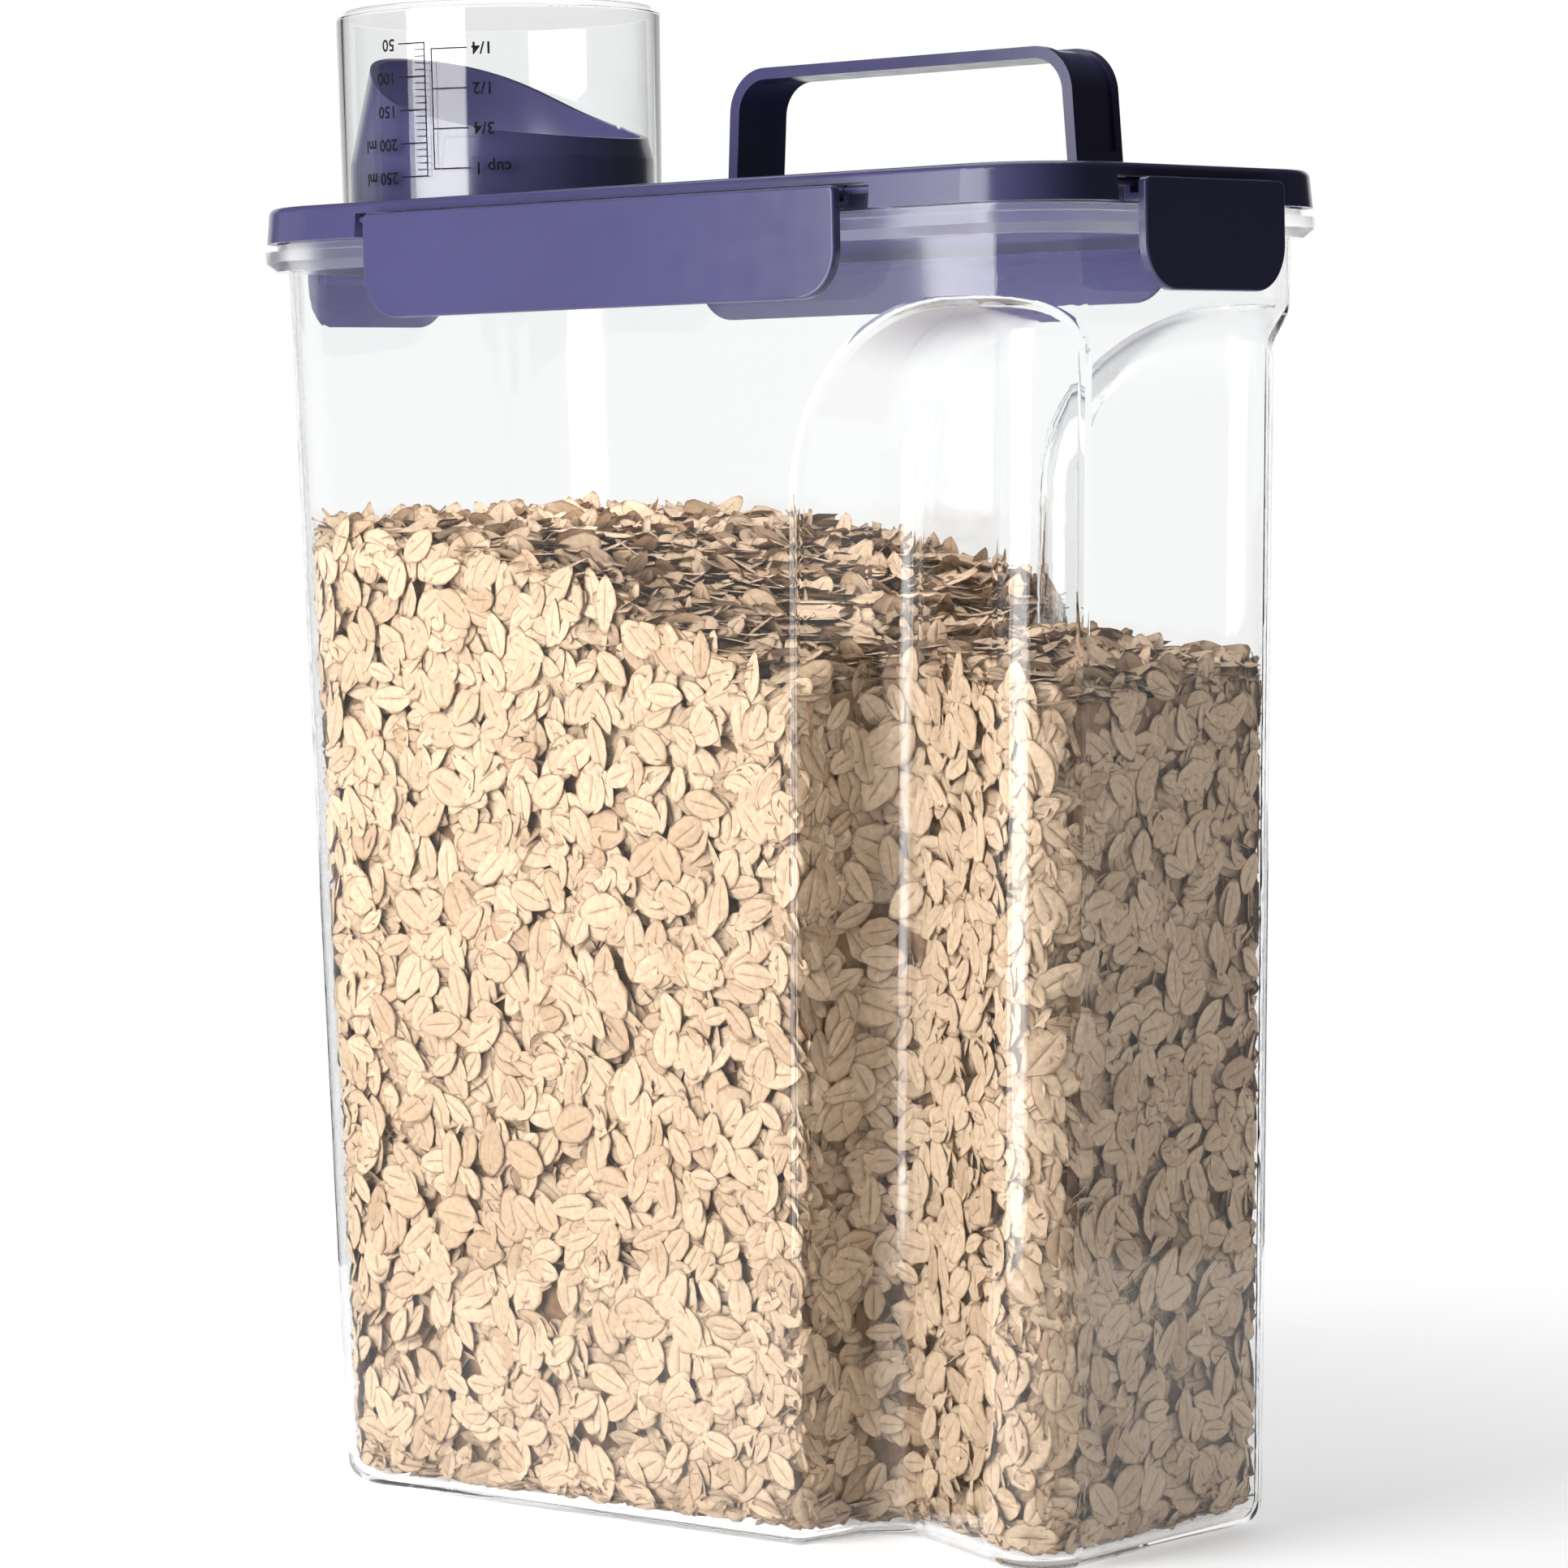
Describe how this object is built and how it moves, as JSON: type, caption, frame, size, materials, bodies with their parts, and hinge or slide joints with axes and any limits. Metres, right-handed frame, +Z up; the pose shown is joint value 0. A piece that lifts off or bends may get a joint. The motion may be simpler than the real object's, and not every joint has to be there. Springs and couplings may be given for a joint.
{
  "type": "rice storage container",
  "caption": "Upright clear grain bin with grip grooves, a snap-latched gasketed lid, a strap handle and a pour spout capped by an upturned measuring cup.",
  "frame": {"origin": "centre of the foot, on the surface the container stands on", "axes": "+Z up, +X towards the handle end with the grip grooves, -Y towards the viewer's long side"},
  "size_m": [0.295, 0.137, 0.4],
  "materials": {
    "clear_plastic": "clear, polished",
    "lid_plastic": "smooth, semi-gloss",
    "silicone": "soft, translucent"
  },
  "bodies": {
    "container": {"container": "clear_plastic"},
    "lid": {"lid": "lid_plastic", "lid_gasket": "silicone", "handle": "lid_plastic"},
    "measuring_cup": {"measuring_cup": "clear_plastic"},
    "front_latch": {"front_latch": "lid_plastic"},
    "grip_latch": {"grip_latch": "lid_plastic"},
    "rear_latch": {"rear_latch": "lid_plastic"},
    "pour_latch": {"pour_latch": "lid_plastic"}
  },
  "joints": [
    {"name": "lid_lift", "type": "slide", "parent": "container", "child": "lid", "axis": [0, 0, 1], "range_m": [0, 0.012]},
    {"name": "cup_lift", "type": "slide", "parent": "lid", "child": "measuring_cup", "axis": [0, 0, 1], "range_m": [0, 0.06]},
    {"name": "front_latch_hinge", "type": "hinge", "parent": "lid", "child": "front_latch", "pos_m": [0, -0.061, 0.3418], "axis": [-1, 0, 0], "range_deg": [0, 90]},
    {"name": "grip_latch_hinge", "type": "hinge", "parent": "lid", "child": "grip_latch", "pos_m": [0.14, 0, 0.3418], "axis": [0, -1, 0], "range_deg": [0, 90]},
    {"name": "rear_latch_hinge", "type": "hinge", "parent": "lid", "child": "rear_latch", "pos_m": [0, 0.061, 0.3418], "axis": [1, 0, 0], "range_deg": [0, 90]},
    {"name": "pour_latch_hinge", "type": "hinge", "parent": "lid", "child": "pour_latch", "pos_m": [-0.14, 0, 0.3418], "axis": [0, 1, 0], "range_deg": [0, 90]}
  ],
  "couplings": [
    {"joint": "front_latch_hinge", "follows": "lid_lift", "rad_per_m": 130.89},
    {"joint": "grip_latch_hinge", "follows": "lid_lift", "rad_per_m": 130.89},
    {"joint": "rear_latch_hinge", "follows": "lid_lift", "rad_per_m": 130.89},
    {"joint": "pour_latch_hinge", "follows": "lid_lift", "rad_per_m": 130.89}
  ]
}
